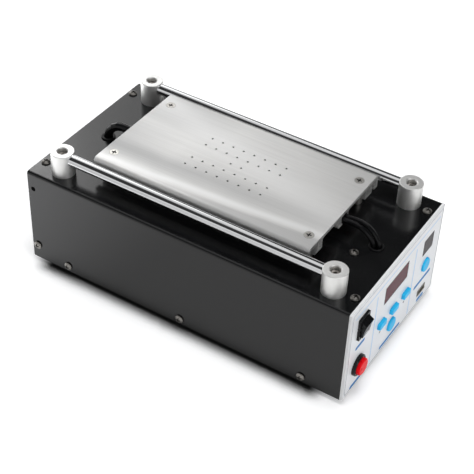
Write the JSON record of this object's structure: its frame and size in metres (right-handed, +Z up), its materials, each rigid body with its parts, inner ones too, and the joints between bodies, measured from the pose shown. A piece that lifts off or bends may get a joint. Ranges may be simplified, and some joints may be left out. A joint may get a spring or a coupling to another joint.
{
  "type": "screen separator",
  "caption": "Heated vacuum plate between two guide rods, on a folded steel case with a control panel, for parting a display from its frame.",
  "frame": {"origin": "under the middle of the whole object, on the plane that the rubber feet stand on", "axes": "+X out of the control panel, along the case; +Y across the case; +Z up"},
  "size_m": [0.3092, 0.162, 0.1164],
  "materials": {
    "aluminium": "fine brushed, clear anodised",
    "black_paint": "satin black powder paint",
    "black_plastic": "black moulded plastic",
    "blue_plastic": "sky blue moulded plastic",
    "brass": "plain brass",
    "cable_rubber": "smooth black sheath",
    "ceramic": "potted sensor block",
    "chrome": "polished chrome",
    "circuit_board": "green solder mask",
    "dark_plastic": "dark moulded plastic",
    "dark_steel": "dark steel",
    "film": "matt white film with plain blue bars",
    "green_plastic": "green moulded plastic",
    "grey_window": "dark grey acrylic",
    "iron_core": "varnished iron laminations",
    "milled_aluminium": "milled",
    "nickel": "nickel plated",
    "red_plastic": "bright red moulded plastic",
    "red_window": "dark red acrylic",
    "rubber": "moulded black rubber",
    "silicone": "red-brown silicone",
    "turned_aluminium": "fine turned, clear anodised",
    "white_paint": "matt white paint",
    "white_plastic": "off-white moulded plastic",
    "zinc": "zinc plated"
  },
  "bodies": {
    "housing": {"top_cover": "black_paint", "chassis": "black_paint", "front_plate": "white_paint", "panel_film": "film", "rubber_feet": "rubber", "foot_screws": "zinc", "top_screws": "zinc", "side_screws": "zinc", "working_plate": "aluminium", "plate_screws": "nickel", "plate_standoffs": "nickel", "standoff_nuts": "zinc", "heater_mat": "silicone", "vacuum_chamber": "milled_aluminium", "chamber_gasket": "silicone", "chamber_screws": "zinc", "temp_sensor": "ceramic", "rod_posts": "turned_aluminium", "post_screws": "dark_steel", "post_nuts": "zinc", "guide_rod_near": "chrome", "guide_rod_far": "chrome", "heater_lead": "cable_rubber", "sensor_lead": "cable_rubber", "vacuum_hose": "cable_rubber", "lead_grommet": "rubber", "hose_grommet": "rubber", "display_window": "red_window", "display_module": "dark_plastic", "meter_window": "grey_window", "meter_module": "dark_plastic", "rocker_housing": "black_plastic", "red_switch_body": "black_plastic", "red_switch_nut": "nickel", "key_switches": "dark_plastic", "usb_shell": "nickel", "usb_tongue": "white_plastic", "control_board": "circuit_board", "board_pillars": "brass", "inlet_body": "black_plastic", "inlet_pins": "brass", "fuse_drawer": "dark_plastic", "inlet_screws": "zinc", "pump_motor": "nickel", "pump_head": "dark_plastic", "pump_cradle": "zinc", "power_board": "circuit_board", "power_pillars": "brass", "transformer": "iron_core", "capacitors": "dark_plastic", "terminal_block": "green_plastic", "earth_screw": "zinc", "earth_lug": "brass"},
    "rocker": {"rocker": "black_plastic"},
    "red_button": {"red_button": "red_plastic"},
    "key_1": {"key_1": "blue_plastic"},
    "key_2": {"key_2": "blue_plastic"},
    "key_3": {"key_3": "blue_plastic"},
    "round_key_low": {"round_key_low": "blue_plastic"},
    "round_key_high": {"round_key_high": "blue_plastic"}
  },
  "joints": [
    {"name": "rocker_tilt", "type": "hinge", "parent": "housing", "child": "rocker", "pos_m": [0.14775, -0.0585, 0.0706], "axis": [0, 1, 0], "range_deg": [-22, 0]},
    {"name": "red_button_press", "type": "slide", "parent": "housing", "child": "red_button", "axis": [-1, 0, 0], "range_m": [0, 0.003], "stiffness_N_per_m": 700},
    {"name": "key_1_press", "type": "slide", "parent": "housing", "child": "key_1", "axis": [-1, 0, 0], "range_m": [0, 0.0005], "stiffness_N_per_m": 3000},
    {"name": "key_2_press", "type": "slide", "parent": "housing", "child": "key_2", "axis": [-1, 0, 0], "range_m": [0, 0.0005], "stiffness_N_per_m": 3000},
    {"name": "key_3_press", "type": "slide", "parent": "housing", "child": "key_3", "axis": [-1, 0, 0], "range_m": [0, 0.0005], "stiffness_N_per_m": 3000},
    {"name": "round_key_low_press", "type": "slide", "parent": "housing", "child": "round_key_low", "axis": [-1, 0, 0], "range_m": [0, 0.0005], "stiffness_N_per_m": 3000},
    {"name": "round_key_high_press", "type": "slide", "parent": "housing", "child": "round_key_high", "axis": [-1, 0, 0], "range_m": [0, 0.0005], "stiffness_N_per_m": 3000}
  ]
}
